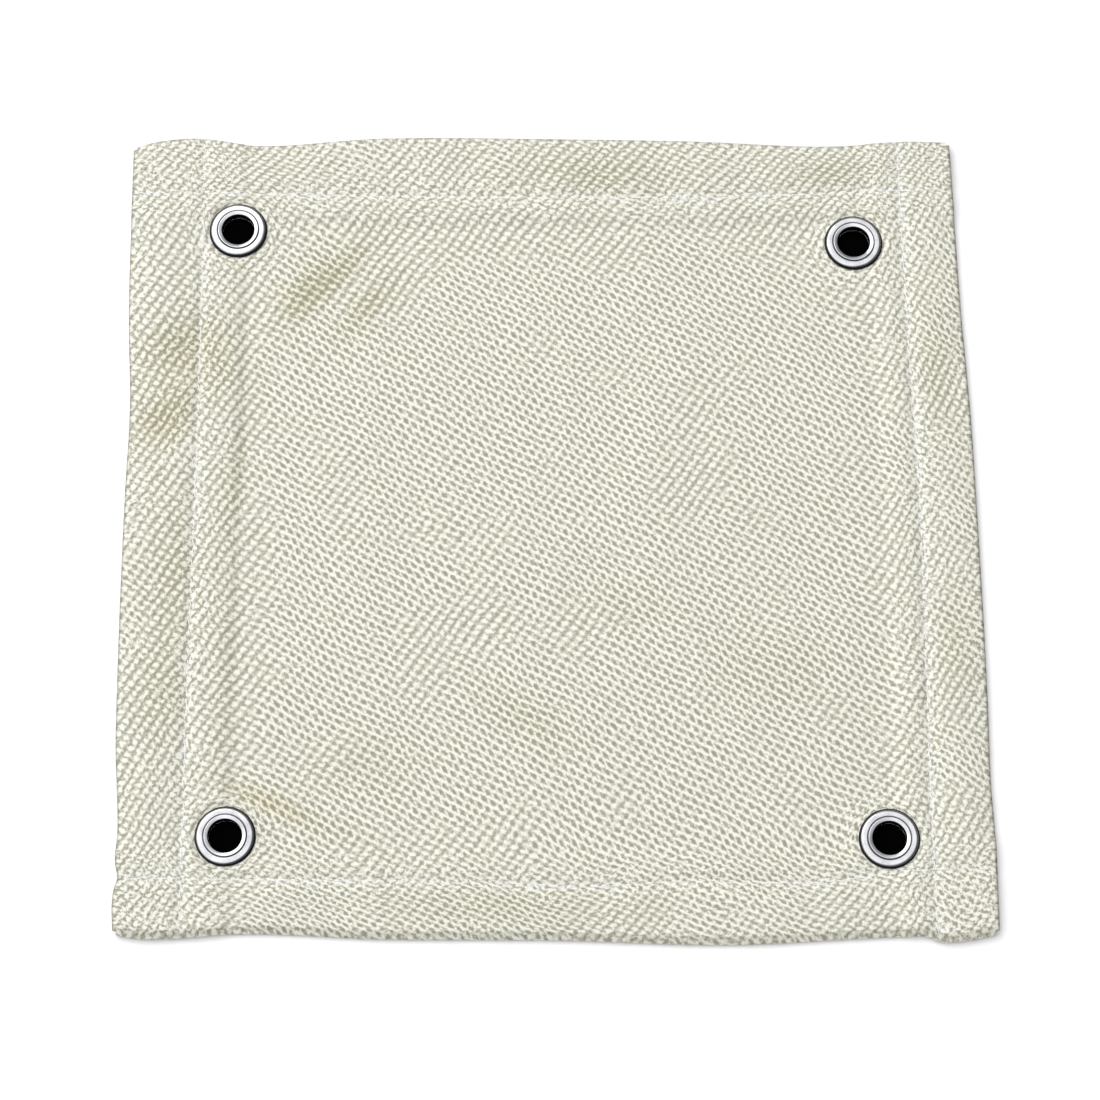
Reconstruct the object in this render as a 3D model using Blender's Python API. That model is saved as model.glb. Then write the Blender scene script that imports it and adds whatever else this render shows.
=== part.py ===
"""A small fire blanket: a sheet of woven glass cloth with four sewn hems and a metal eyelet in each corner.

Metres, +Z up. The blanket lies flat with its underside at Z = 0 and its centre over the origin.
Its left half folds up and over onto its right half about a line along Y. The fold line lies just
above the eyelets, so that they face each other with a small gap when the blanket is folded shut.
The cloth, and the sewing threads that cross the fold, are therefore split there into two halves.
"""

import math

import bmesh
import bpy

# The finished sheet.
WIDTH = 0.305  # along X, at right angles to the fold
LENGTH = 0.301  # along Y
CLOTH = 0.0013  # one layer of cloth; the hem is two
CLEARANCE = 0.0003  # between pieces that touch on the real blanket
FOLD_SPLIT = 0.0006  # between the two halves of the sheet
FOLD_CLEARANCE = 0.0004  # from the highest thing on the blanket up to the fold axis

# How far each row of stitching lies inside its own edge, and how far the hem reaches past it.
SEAM_INSET = {"left": 0.0249, "right": 0.0203, "far": 0.0221, "near": 0.0207}
HEM_PAST_SEAM = {"left": 0.0135, "right": 0.0095, "far": 0.0085, "near": 0.0090}

# Sewing thread, drawn down into the cloth.
THREAD = 0.0005  # diameter
THREAD_STANDS_PROUD = 0.0002  # of the cloth, on the upper side
THREAD_SUNK = 0.0001  # above the underside, on the lower side
CROSSING_RAMP = 0.0020  # the length over which a thread climbs over another
THREAD_END = 0.0005  # from the end of a thread to the edge of the cloth

# Eyelet: a flanged tube pushed up through the cloth and rolled over a domed washer.
HOLE_RADIUS = 0.00595  # clear radius through the tube
METAL = 0.0005  # wall of the tube and of the flange
FLANGE_RADIUS = 0.0103
LIP_WIDTH = 0.00155  # from the hole to the outside of the rolled lip
LIP_HEIGHT = 0.0010
LIP_START = -75  # degrees round the lip's section, where it leaves the tube
WASHER_RADIUS = 0.0103
WASHER_SEAT = 0.0005  # height of the washer's inner rim, under the rolled lip
DOME_HEIGHT = 0.0015  # height of the washer's rounded outer ring
DOME_LAND = 0.0007  # width of the flat on top of that ring
WASHER_SINK = 0.0008  # how deep the washer presses into the hem; the flange presses in its own thickness
PAD_MARGIN = 0.0022  # cloth bunched up around the washer
RING_SEGMENTS = 32
CORNER_STEPS = 4  # facets in a quarter round

# Each eyelet's distance from the two edges that meet in its corner, across X and along Y.
EYELET_INSET = {
    "far_left": (0.0390, 0.0353),
    "far_right": (0.0395, 0.0428),
    "near_left": (0.0389, 0.0374),
    "near_right": (0.0358, 0.0341),
}

# Heights that follow from those sizes.
HEM_TOP = 2 * CLOTH
FLANGE_POCKET = METAL + CLEARANCE
WASHER_FLOOR = HEM_TOP - WASHER_SINK
WASHER_BASE = WASHER_FLOOR + CLEARANCE
LIP_BASE = WASHER_BASE + WASHER_SEAT + CLEARANCE
EYELET_TOP = max(LIP_BASE + LIP_HEIGHT, WASHER_BASE + DOME_HEIGHT)
CUT_THROUGH = 0.010  # how far a cutter runs past what it cuts

# Thread heights, and the grooves that hold the threads with clearance all round.
NEEDLE_Z = HEM_TOP + THREAD_STANDS_PROUD - THREAD / 2
BOBBIN_Z = THREAD_SUNK + THREAD / 2
CROSSING_RISE = THREAD + CLEARANCE
GROOVE = THREAD + 2 * CLEARANCE
NEEDLE_GROOVE_FLOOR = NEEDLE_Z - THREAD / 2 - CLEARANCE
BOBBIN_GROOVE_ROOF = BOBBIN_Z + THREAD / 2 + CLEARANCE
CROSSING_POCKET_ROOF = BOBBIN_GROOVE_ROOF + CROSSING_RISE
CROSSING_TOP = NEEDLE_Z + THREAD / 2 + CROSSING_RISE
FOLD_AXIS_Z = max(EYELET_TOP, CROSSING_TOP) + FOLD_CLEARANCE

# Where things lie in plan.
SEAM_X = {"left": -WIDTH / 2 + SEAM_INSET["left"], "right": WIDTH / 2 - SEAM_INSET["right"]}
SEAM_Y = {"near": -LENGTH / 2 + SEAM_INSET["near"], "far": LENGTH / 2 - SEAM_INSET["far"]}
HEM_X = {"left": SEAM_X["left"] + HEM_PAST_SEAM["left"], "right": SEAM_X["right"] - HEM_PAST_SEAM["right"]}
HEM_Y = {"near": SEAM_Y["near"] + HEM_PAST_SEAM["near"], "far": SEAM_Y["far"] - HEM_PAST_SEAM["far"]}
SIGN_X = {"left": -1, "right": 1}
SIGN_Y = {"near": -1, "far": 1}


def clear_scene():
    """Removes every object, so that the script starts from an empty scene."""
    for thing in list(bpy.data.objects):
        bpy.data.objects.remove(thing)


def material(name, color, roughness, metallic):
    """A Principled material with one colour."""
    finish = bpy.data.materials.new(name)
    finish.use_nodes = True
    shader = finish.node_tree.nodes["Principled BSDF"]
    shader.inputs["Base Color"].default_value = (*color, 1.0)
    shader.inputs["Roughness"].default_value = roughness
    shader.inputs["Metallic"].default_value = metallic
    return finish


def link(name, data, finish=None, parent=None):
    """An object in the scene, with its material, moved and carried by its parent."""
    thing = bpy.data.objects.new(name, data)
    bpy.context.scene.collection.objects.link(thing)
    if finish:
        data.materials.append(finish)
    if parent:
        thing.parent = parent
        thing.matrix_parent_inverse = parent.matrix_basis.inverted()
    return thing


def box_mesh(name, low, high):
    """A closed box between two corners."""
    bm = bmesh.new()
    bmesh.ops.create_cube(bm, size=1.0)
    for vert in bm.verts:
        vert.co = [high[k] if vert.co[k] > 0 else low[k] for k in range(3)]
    mesh = bpy.data.meshes.new(name)
    bm.to_mesh(mesh)
    bm.free()
    return mesh


def turned_mesh(name, outline, center, ring=True):
    """A round solid: an outline of (radius, height) points spun about the vertical line through center.

    The outline of a ring closes on itself, and any other starts and ends on the axis.
    """
    bm = bmesh.new()
    verts = [bm.verts.new((radius, 0.0, height)) for radius, height in outline]
    edges = [bm.edges.new(pair) for pair in zip(verts, verts[1:])]
    if ring:
        edges.append(bm.edges.new((verts[-1], verts[0])))
    bmesh.ops.spin(
        bm, geom=verts + edges, cent=(0, 0, 0), axis=(0, 0, 1), angle=2 * math.pi, steps=RING_SEGMENTS
    )
    bmesh.ops.remove_doubles(bm, verts=bm.verts, dist=0.000001)
    bmesh.ops.recalc_face_normals(bm, faces=bm.faces)
    bmesh.ops.translate(bm, verts=bm.verts, vec=(center[0], center[1], 0.0))
    mesh = bpy.data.meshes.new(name)
    bm.to_mesh(mesh)
    bm.free()
    mesh.shade_smooth()
    mesh.set_sharp_from_angle(angle=math.radians(40))
    return mesh


def arc(center, radii, start, stop, steps=CORNER_STEPS):
    """Points (radius, height) along part of an ellipse, from angle start to angle stop in degrees."""
    angles = [math.radians(start + (stop - start) * step / steps) for step in range(steps + 1)]
    return [(center[0] + radii[0] * math.cos(a), center[1] + radii[1] * math.sin(a)) for a in angles]


def cut(target, name, mesh):
    """Takes a shape out of target with a Boolean, and returns the hidden cutter."""
    cutter = link(name, mesh)
    cutter.hide_render = True
    cutter.display_type = "WIRE"
    boolean = target.modifiers.new(name, "BOOLEAN")
    boolean.operation = "DIFFERENCE"
    boolean.solver = "EXACT"
    boolean.object = cutter
    return cutter


def eyelet_center(corner):
    """The middle of an eyelet, from the two edges that meet in its corner."""
    row, side = corner.split("_")
    across, along = EYELET_INSET[corner]
    return SIGN_X[side] * (WIDTH / 2 - across), SIGN_Y[row] * (LENGTH / 2 - along)


def cut_panel(cloth, side):
    """Leaves one layer of cloth inside the hems, and a bunched pad of cloth around each eyelet."""
    inner, outer = sorted((HEM_X[side], -SIGN_X[side] * CUT_THROUGH))
    low = (inner, HEM_Y["near"], CLOTH)
    high = (outer, HEM_Y["far"], HEM_TOP + CUT_THROUGH)
    panel = cut(cloth, f"panel_cut_{side}", box_mesh("panel_cut", low, high))
    for row in SIGN_Y:
        radius = WASHER_RADIUS + CLEARANCE + PAD_MARGIN
        outline = [(0, 0), (radius, 0), (radius, high[2] * 2), (0, high[2] * 2)]
        center = eyelet_center(f"{row}_{side}")
        cut(panel, f"pad_{row}_{side}", turned_mesh("pad", outline, center, ring=False))


def cut_seat(cloth, corner):
    """The hole for the tube, with a shallow seat below for the flange and one above for the washer."""
    hole = HOLE_RADIUS + METAL + CLEARANCE
    outline = [
        (0, -CUT_THROUGH),
        (FLANGE_RADIUS + CLEARANCE, -CUT_THROUGH),
        (FLANGE_RADIUS + CLEARANCE, FLANGE_POCKET),
        (hole, FLANGE_POCKET),
        (hole, WASHER_FLOOR),
        (WASHER_RADIUS + CLEARANCE, WASHER_FLOOR),
        (WASHER_RADIUS + CLEARANCE, HEM_TOP + CUT_THROUGH),
        (0, HEM_TOP + CUT_THROUGH),
    ]
    cut(cloth, f"seat_{corner}", turned_mesh("seat", outline, eyelet_center(corner), ring=False))


def cut_grooves(cloth, side):
    """The furrows that the stitching pulls into both faces, and the room where bobbin threads cross."""
    layers = {
        "needle": (NEEDLE_GROOVE_FLOOR, HEM_TOP + CUT_THROUGH),
        "bobbin": (-CUT_THROUGH, BOBBIN_GROOVE_ROOF),
    }
    x, half = SEAM_X[side], GROOVE / 2
    for layer, (bottom, top) in layers.items():
        low, high = (x - half, -LENGTH, bottom), (x + half, LENGTH, top)
        cut(cloth, f"{layer}_groove_{side}_seam", box_mesh("groove", low, high))
        for row, y in SEAM_Y.items():
            low, high = (-WIDTH, y - half, bottom), (WIDTH, y + half, top)
            cut(cloth, f"{layer}_groove_{row}_seam_{side}", box_mesh("groove", low, high))
    for row, y in SEAM_Y.items():
        reach = GROOVE / 2 + CROSSING_RAMP
        low, high = (x - half, y - reach, -CUT_THROUGH), (x + half, y + reach, CROSSING_POCKET_ROOF)
        cut(cloth, f"crossing_{row}_{side}", box_mesh("crossing", low, high))


def build_cloth(side, finish, parent):
    """One half of the sheet: a thicker hem on three sides, one layer inside it."""
    inner, outer = sorted((SIGN_X[side] * FOLD_SPLIT / 2, SIGN_X[side] * WIDTH / 2))
    sheet = box_mesh("half_sheet", (inner, -LENGTH / 2, 0.0), (outer, LENGTH / 2, HEM_TOP))
    cloth = link(f"cloth_{side}_half", sheet, finish, parent)
    cut_panel(cloth, side)
    cut_grooves(cloth, side)
    for row in SIGN_Y:
        cut_seat(cloth, f"{row}_{side}")


def build_thread(name, points, finish, parent):
    """A sewing thread that follows points, with closed ends."""
    path = bpy.data.curves.new(name, "CURVE")
    path.dimensions = "3D"
    path.bevel_depth = THREAD / 2
    path.bevel_resolution = 1
    path.use_fill_caps = True
    spline = path.splines.new("POLY")
    spline.points.add(len(points) - 1)
    for spot, point in zip(spline.points, points):
        spot.co = (*point, 1.0)
    link(name, path, finish, parent)


def build_side_seam(side, layer, height, finish, parent):
    """The left or right seam's thread, from the near edge to the far one, climbing over each one it crosses."""
    x, end = SEAM_X[side], LENGTH / 2 - THREAD_END
    foot, crest = GROOVE / 2 + CROSSING_RAMP / 2, GROOVE / 2
    points = [(x, -end, height)]
    for y in (SEAM_Y["near"], SEAM_Y["far"]):
        steps = [(-foot, 0), (-crest, CROSSING_RISE), (crest, CROSSING_RISE), (foot, 0)]
        points += [(x, y + along, height + rise) for along, rise in steps]
    points.append((x, end, height))
    build_thread(f"{layer}_thread_{side}_seam", points, finish, parent)


def build_cross_seam(row, side, layer, height, finish, parent):
    """One half of the far or near seam's thread, from the fold out to the edge."""
    y = SEAM_Y[row]
    spots = (FOLD_SPLIT / 2, WIDTH / 4, WIDTH / 2 - THREAD_END)
    points = [(SIGN_X[side] * x, y, height) for x in spots]
    build_thread(f"{layer}_thread_{row}_seam_{side}", points, finish, parent)


def build_stitching(side, finish, parent):
    """The needle threads on the upper side and the bobbin threads on the underside."""
    for layer, height in (("needle", NEEDLE_Z), ("bobbin", BOBBIN_Z)):
        build_side_seam(side, layer, height, finish, parent)
        for row in SEAM_Y:
            build_cross_seam(row, side, layer, height, finish, parent)


def build_grommet(corner, finish, parent):
    """The flanged tube, with its upper end rolled outwards into a round lip."""
    tube = HOLE_RADIUS + METAL
    lip_radii = (LIP_WIDTH / 2, LIP_HEIGHT / 2)
    lip_center = (HOLE_RADIUS + lip_radii[0], LIP_BASE + lip_radii[1])
    outline = [(HOLE_RADIUS, 0), (FLANGE_RADIUS, 0), (FLANGE_RADIUS, METAL), (tube, METAL), (tube, LIP_BASE)]
    outline += arc(lip_center, lip_radii, LIP_START, 180, 2 * CORNER_STEPS)
    mesh = turned_mesh("grommet", outline, eyelet_center(corner))
    link(f"grommet_{corner}", mesh, finish, parent)


def build_washer(corner, finish, parent):
    """The domed washer under the rolled lip: a low inner rim, and a rounded outer ring with a narrow flat."""
    bore = HOLE_RADIUS + METAL + CLEARANCE
    seat_edge = HOLE_RADIUS + LIP_WIDTH + CLEARANCE
    seat_top = WASHER_BASE + WASHER_SEAT
    flank = (WASHER_RADIUS - seat_edge - DOME_LAND) / 2
    outline = [(bore, WASHER_BASE), (WASHER_RADIUS, WASHER_BASE)]
    outline += arc((WASHER_RADIUS - flank, WASHER_BASE), (flank, DOME_HEIGHT), 90 / CORNER_STEPS, 90)
    outline += arc((seat_edge + flank, seat_top), (flank, DOME_HEIGHT - WASHER_SEAT), 90, 180)
    outline.append((bore, seat_top))
    mesh = turned_mesh("washer", outline, eyelet_center(corner))
    link(f"washer_{corner}", mesh, finish, parent)


def build_blanket():
    """Both halves, each carried by an empty on the fold axis."""
    glass = material("glass_cloth", (0.70, 0.68, 0.60), 0.85, 0.0)
    thread = material("sewing_thread", (0.82, 0.82, 0.80), 0.7, 0.0)
    plated = material("plated_metal", (0.76, 0.76, 0.78), 0.15, 1.0)
    for side in SIGN_X:
        fold = link(f"fold_axis_{side}", None)
        fold.location = (0.0, 0.0, FOLD_AXIS_Z)
        build_cloth(side, glass, fold)
        build_stitching(side, thread, fold)
        for row in SIGN_Y:
            build_grommet(f"{row}_{side}", plated, fold)
            build_washer(f"{row}_{side}", plated, fold)


clear_scene()
build_blanket()
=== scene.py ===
"""A hemmed square of woven glass cloth with four plated eyelets, lying flat on a pale floor.

Metres, +Z up. The cloth is one sheet whose four hems are turned under and sewn, so it has two layers
along its edges and three in its corners. The blanket's left half can fold over onto its right half about X = 0;
here the side seams' threads and the eyelets are hung from the body of the half they belong to.
"""

import math

import bpy
import numpy as np
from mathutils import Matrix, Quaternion, Vector, noise


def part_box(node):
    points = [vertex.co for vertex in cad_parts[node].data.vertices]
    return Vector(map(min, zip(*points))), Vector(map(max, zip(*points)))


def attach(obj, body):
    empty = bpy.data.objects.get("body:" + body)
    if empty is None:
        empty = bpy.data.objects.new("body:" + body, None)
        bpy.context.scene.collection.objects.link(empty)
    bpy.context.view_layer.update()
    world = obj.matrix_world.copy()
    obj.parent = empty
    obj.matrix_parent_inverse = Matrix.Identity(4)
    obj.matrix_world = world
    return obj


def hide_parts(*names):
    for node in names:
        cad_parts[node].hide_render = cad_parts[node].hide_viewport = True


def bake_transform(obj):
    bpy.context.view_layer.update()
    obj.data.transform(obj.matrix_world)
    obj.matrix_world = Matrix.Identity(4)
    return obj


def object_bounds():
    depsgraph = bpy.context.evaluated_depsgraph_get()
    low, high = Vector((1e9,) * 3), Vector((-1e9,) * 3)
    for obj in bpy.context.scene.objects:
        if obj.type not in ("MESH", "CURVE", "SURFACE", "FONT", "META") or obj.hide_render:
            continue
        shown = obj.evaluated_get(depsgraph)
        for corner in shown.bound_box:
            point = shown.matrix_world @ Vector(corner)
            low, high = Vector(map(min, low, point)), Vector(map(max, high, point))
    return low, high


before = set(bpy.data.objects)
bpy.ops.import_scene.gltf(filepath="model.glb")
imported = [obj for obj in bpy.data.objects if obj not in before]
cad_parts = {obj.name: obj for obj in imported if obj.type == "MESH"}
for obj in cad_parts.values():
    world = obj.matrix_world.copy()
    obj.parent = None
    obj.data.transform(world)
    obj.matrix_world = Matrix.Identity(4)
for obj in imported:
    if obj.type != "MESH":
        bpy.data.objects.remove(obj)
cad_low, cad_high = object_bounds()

MM = 0.001
CORNERS = ("far_left", "far_right", "near_left", "near_right")


def middle(node):
    """The middle of a node's box."""
    low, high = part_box(node)
    return (low + high) / 2


# Places that the frame gives.
HALF_WIDTH, HALF_LENGTH = cad_high.x, cad_high.y
EYELET = {corner: middle("washer_" + corner) for corner in CORNERS}
SEAM_X = {side: middle(f"needle_thread_{side}_seam").x for side in ("left", "right")}
SEAM_Y = {side: middle(f"needle_thread_{side}_seam_left").y for side in ("far", "near")}
RIM = (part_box("washer_far_left")[1].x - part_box("washer_far_left")[0].x) / 2
WASHER_BASE, WASHER_TOP = (corner.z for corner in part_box("washer_far_left"))
LIP_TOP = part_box("grommet_far_left")[1].z

# The cloth and its hems.
CLOTH = 1.15 * MM  # thickness of the woven cloth
LAYER = 1.20 * MM  # from one layer to the next
HEM = {"left": 38.4 * MM, "right": 29.8 * MM, "far": 30.6 * MM, "near": 29.7 * MM}
FOLD_REACH = 1.0 * MM  # how far the cloth bulges at a folded edge
FOLD_STEPS = 6
EDGE = FOLD_REACH + CLOTH / 2  # from the start of the bend to the outside of the edge
INNER_X = {"left": -HALF_WIDTH + HEM["left"], "right": HALF_WIDTH - HEM["right"]}
INNER_Y = {"near": -HALF_LENGTH + HEM["near"], "far": HALF_LENGTH - HEM["far"]}
YARN_SWAY = 1.1 * MM  # how far the yarns wander from straight lines
HEM_SLOPE = 3.4 * MM  # over which the sheet comes down past the end of a hem
SEAM_FURROW = 1.9 * MM  # half the width of the furrow that a row of stitches pulls in the cloth
WARP_PITCH, WEFT_PITCH = 1.5 * MM, 1.987 * MM  # between yarns
WEAVE_LEAN = 0.109  # how far the weft leans off square
HEM_TIGHTER = {"left": 0.12, "right": 0.28, "ends": 0.32}  # how much closer the yarns lie in the hems
YARN_PULL, PULL_REACH = 2.6 * MM, 5 * MM  # how far the yarns close up at an eyelet's rim, and how soon that fades

# Eyelets.
HOLE = 5.95 * MM  # clear radius
TUBE_WALL = 0.5 * MM
LIP = 1.55 * MM  # from the hole to the outside of the rolled lip
CLOTH_HOLE = 6.9 * MM  # the hole cut in the cloth, hidden under the washer
LIP_ROUND = 0.32 * MM  # radius of the lip's edges
LIP_FALL = 0.26 * MM  # how much lower the lip is at the hole than at its outside
RIM_SKIRT = 0.35 * MM  # foot around the washer, painted near-black as a painted contact shadow
DISC_HEIGHT = 0.12 * MM  # of the dark disc in a hole
CLAMPED_LOW, CLAMPED_HIGH = 0.8 * MM, 1.8 * MM  # the cloth between flange and washer
RING_SEGMENTS = 96

# Stitching.
THREAD = 0.48 * MM
STITCH = 3.7 * MM

# How each edge strays outwards, and each seam to the right or away, from its straight line, in mm.
EDGE_STRAY = {
    "left": ((-150, -0.8), (-134, -0.8), (-129, -2.0), (-125, -1.2), (-112, -1.4), (-80, 0.2), (-50, 0.4),
             (10, -0.1), (50, -0.9), (75, 0.3), (150, 0.6)),
    "right": ((-150, 0.7), (-120, 1.1), (-98, 0.5), (-69, 0.9), (0, 0.8), (40, 0.3), (84, -1.3), (120, -1.9),
              (150, -2.4)),
    "far": ((-153, -1.8), (-147, 0.2), (-133, 2.2), (-111, -0.6), (-60, 1.7), (0, 0.8), (54, -0.8), (110, -3.5),
            (135, -2.2), (153, -2.8)),
    "near": ((-152, -3.2), (-144, -1.9), (-131, -1.7), (-110, -3.1), (-60, -0.9), (0, 0.1), (66, 2.4), (104, 0.8),
             (122, 0.3), (129, 0.5), (133, 2.2), (141, 2.1), (153, -0.4)),
}
SEAM_STRAY = {
    "left": ((-150, -1.1), (-60, -0.6), (0, 0.3), (60, 1.0), (150, 1.3)),
    "right": ((-150, -0.4), (-97, -0.3), (-50, 0.3), (10, 0.7), (82, -0.8), (150, -1.6)),
    "far": ((-150, 1.9), (-100, 1.4), (-54, -0.1), (0, -0.7), (57, -1.8), (125, -0.1), (150, 0.1)),
    "near": ((-150, 2.1), (-104, 1.3), (-35, -0.2), (13, -2.3), (51, -0.6), (95, -1.6), (118, 1.6), (150, 2.4)),
}
# Soft patches on the cloth, painted shade of creases and lumps in SHADED and tan in TANNED: strength, centre and
# half sizes in mm, and turn in degrees.
SHADED = (
    (0.9, (-134, 72), (14, 9), 30), (0.9, (-138, 44), (12, 8), 30), (0.5, (-134, -20), (8, 26), 0),
    (0.45, (-137, -62), (7, 15), 0), (0.9, (-88, 92), (5, 14), -35), (0.9, (-76, 98), (4, 18), -40),
    (0.7, (-66, 84), (5, 14), -40), (0.5, (-118, 60), (7, 9), 0), (0.5, (-113, 20), (3, 26), -8),
    (0.4, (-114, -50), (3, 30), 0), (0.5, (20, 137), (26, 7), 0), (0.4, (105, 137), (14, 7), 0),
    (0.4, (142, 60), (6, 22), 0), (0.4, (143, -45), (6, 14), 0), (0.35, (-20, -138), (40, 6), 0),
    (0.25, (78, -55), (16, 12), 0), (0.25, (-65, -88), (14, 10), 0), (0.35, (-8, -72), (16, 7), -30),
    (0.20, (28, -30), (13, 8), 0), (0.4, (-90, -105), (22, 4), -25),
)
TANNED = (
    (0.8, (-130, 64), (12, 7), 30), (0.7, (-141, 38), (10, 7), 30), (1.3, (-100, -101), (14, 3.5), -25),
    (0.5, (-95, 88), (6, 6), 0), (0.35, (-146, -100), (4, 8), 0),
)


# ---------------------------------------------------------------- shape of the sheet


def smooth(value, low, high):
    """0 before low, 1 after high, and an even curve between them."""
    share = np.clip((value - low) / (high - low), 0, 1)
    return share * share * (3 - 2 * share)


def stray(points, at):
    """A smooth curve through a few points given in mm, read at a place in metres."""
    place, value = np.array(points, float).T * MM
    slope = np.gradient(value, place)
    at = np.clip(at, place[0], place[-1])
    k = np.clip(np.searchsorted(place, at) - 1, 0, len(place) - 2)
    gap = place[k + 1] - place[k]
    t = (at - place[k]) / gap
    return (value[k] * (1 + 2 * t) * (1 - t) ** 2 + value[k + 1] * t * t * (3 - 2 * t)
            + gap * slope[k] * t * (1 - t) ** 2 - gap * slope[k + 1] * t * t * (1 - t))


def between(at, knots, values):
    """Runs smoothly from each value to the next as a place passes the knots."""
    total = values[0] + 0 * at
    for k in range(1, len(knots)):
        total = total + (values[k] - values[k - 1]) * smooth(at, knots[k - 1], knots[k])
    return total


def ripple(x, y, size, layer):
    """Soft noise over the plan, about -1 to 1, whose bumps are as wide as size."""
    flat = zip(np.ravel(x), np.ravel(y))
    bumps = [noise.noise(Vector((a / size, b / size, layer))) for a, b in flat]
    return np.array(bumps).reshape(np.shape(x))


def plan(x, y):
    """Where a point of the straight blanket lies once its edges and seams stray."""
    across = between(
        x, (-HALF_WIDTH, SEAM_X["left"], -80 * MM, 80 * MM, SEAM_X["right"], HALF_WIDTH),
        (-stray(EDGE_STRAY["left"], y), stray(SEAM_STRAY["left"], y), 0 * y, 0 * y,
         stray(SEAM_STRAY["right"], y), stray(EDGE_STRAY["right"], y)))
    along = between(
        y, (-HALF_LENGTH, SEAM_Y["near"], -80 * MM, 80 * MM, SEAM_Y["far"], HALF_LENGTH),
        (-stray(EDGE_STRAY["near"], x), stray(SEAM_STRAY["near"], x), 0 * x, 0 * x,
         stray(SEAM_STRAY["far"], x), stray(EDGE_STRAY["far"], x)))
    return x + across, y + along


def hem_shares(x, y):
    """How far a point is inside each hem, 0 to 1, across X and along Y."""
    side = np.maximum(1 - smooth(x, INNER_X["left"], INNER_X["left"] + HEM_SLOPE),
                      smooth(x, INNER_X["right"] - HEM_SLOPE, INNER_X["right"]))
    end = np.maximum(1 - smooth(y, INNER_Y["near"], INNER_Y["near"] + HEM_SLOPE),
                     smooth(y, INNER_Y["far"] - HEM_SLOPE, INNER_Y["far"]))
    return side, end


def hump(value, low, high):
    """A rounded hump between two places, 1 in the middle."""
    return np.sin(np.pi * np.clip((value - low) / (high - low), 0, 1)) ** 0.8


def seam_distances(x, y):
    """Distance to each row of stitching, and the place along it."""
    return ((np.abs(x - SEAM_X["left"]), y), (np.abs(x - SEAM_X["right"]), y),
            (np.abs(y - SEAM_Y["near"]), x), (np.abs(y - SEAM_Y["far"]), x))


def eyelet_grip(x, y):
    """How firmly the nearest eyelet clamps the cloth, and how much it bunches up around the rim."""
    px, py = plan(x, y)
    grip, bunch = 0 * px, 0 * px
    for centre in EYELET.values():
        reach = np.hypot(px - centre.x, py - centre.y)
        turn = np.arctan2(py - centre.y, px - centre.x)
        grip = np.maximum(grip, 1 - smooth(reach, RIM + 0.2 * MM, RIM + 2.4 * MM))
        ring = np.exp(-((reach - RIM - 2.6 * MM) / (1.7 * MM)) ** 2)
        bunch = bunch + ring * (1 + 0.35 * np.cos(7 * turn + 40 * centre.x) + 0.25 * np.cos(4 * turn))
    return grip, bunch


def eyelet_pull(px, py):
    """How the yarns close up around each eyelet, so that they run round it."""
    pull_x, pull_y = 0 * px, 0 * py
    for centre in EYELET.values():
        dx, dy = px - centre.x, py - centre.y
        reach = np.maximum(np.hypot(dx, dy), CLOTH_HOLE)
        pull = YARN_PULL * np.exp(-(reach - RIM) / PULL_REACH) / reach
        pull_x, pull_y = pull_x - pull * dx, pull_y - pull * dy
    return pull_x, pull_y


def sheet_heights(x, y):
    """Heights of the upper face and the underside, and the cloth's thickness as a share of the full one."""
    side, end = hem_shares(x, y)
    both = side * end
    lumps = ripple(x, y, 17 * MM, 3.1)
    long_lumps = ripple(x, y, 46 * MM, 8.4)
    puff = 0 * x
    for low, high, at in ((-HALF_WIDTH, SEAM_X["left"], x), (SEAM_X["right"], HALF_WIDTH, x),
                          (-HALF_LENGTH, SEAM_Y["near"], y), (SEAM_Y["far"], HALF_LENGTH, y)):
        puff = np.maximum(puff, hump(at, low, high) * (0.75 + 0.9 * lumps + 0.4 * long_lumps))
    inner = 0 * x
    for low, high, at in ((SEAM_X["left"], INNER_X["left"], x), (INNER_X["right"], SEAM_X["right"], x),
                          (SEAM_Y["near"], INNER_Y["near"], y), (INNER_Y["far"], SEAM_Y["far"], y)):
        inner = np.maximum(inner, hump(at, low, high) * (0.40 + 0.6 * lumps))
    top = LAYER * (1 + side + end - 0.1 * both) + (puff + inner) * MM * (1 - 0.8 * both)
    lift = 0.55 * ripple(x, y, 38 * MM, 1.7) + 0.35 * ripple(x, y, 15 * MM, 5.2)
    panel = (1 - side) * (1 - end)
    rise = np.clip(lift + 0.15, 0, 1) * MM * panel
    top = top + rise
    for away, place in seam_distances(x, y):
        row = np.exp(-(away / SEAM_FURROW) ** 2)
        top = top - 0.55 * MM * row
        pucker = ripple(x, y, 6 * MM, 9.9)
        top = top + 0.30 * MM * np.exp(-(away / (6 * MM)) ** 2) * pucker
    grip, bunch = eyelet_grip(x, y)
    top = top + 0.45 * MM * bunch * (1 - both)
    top = np.minimum(top, LIP_TOP + 0.1 * MM)
    low = 0.25 * MM * np.maximum.reduce([np.exp(-(away / (1.5 * MM)) ** 2) for away, _ in seam_distances(x, y)])
    low = low + 0.75 * rise
    layers = 1 + (side > 0.99) + (end > 0.99)
    clamped = (CLAMPED_HIGH - CLAMPED_LOW) / layers / CLOTH * 0.94
    thickness = 1 + grip * (clamped - 1)
    top = top + grip * (CLAMPED_HIGH - top)
    low = low + grip * (CLAMPED_LOW - low)
    return top, low, thickness


def spaced(stops):
    """Places from the first stop to the last, each stretch divided at about its own spacing."""
    places = [stops[0][0]]
    for (low, _), (high, step) in zip(stops, stops[1:]):
        count = max(1, round((high - low) / step))
        places += [low + (high - low) * k / count for k in range(1, count + 1)]
    return np.array(places)


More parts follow.
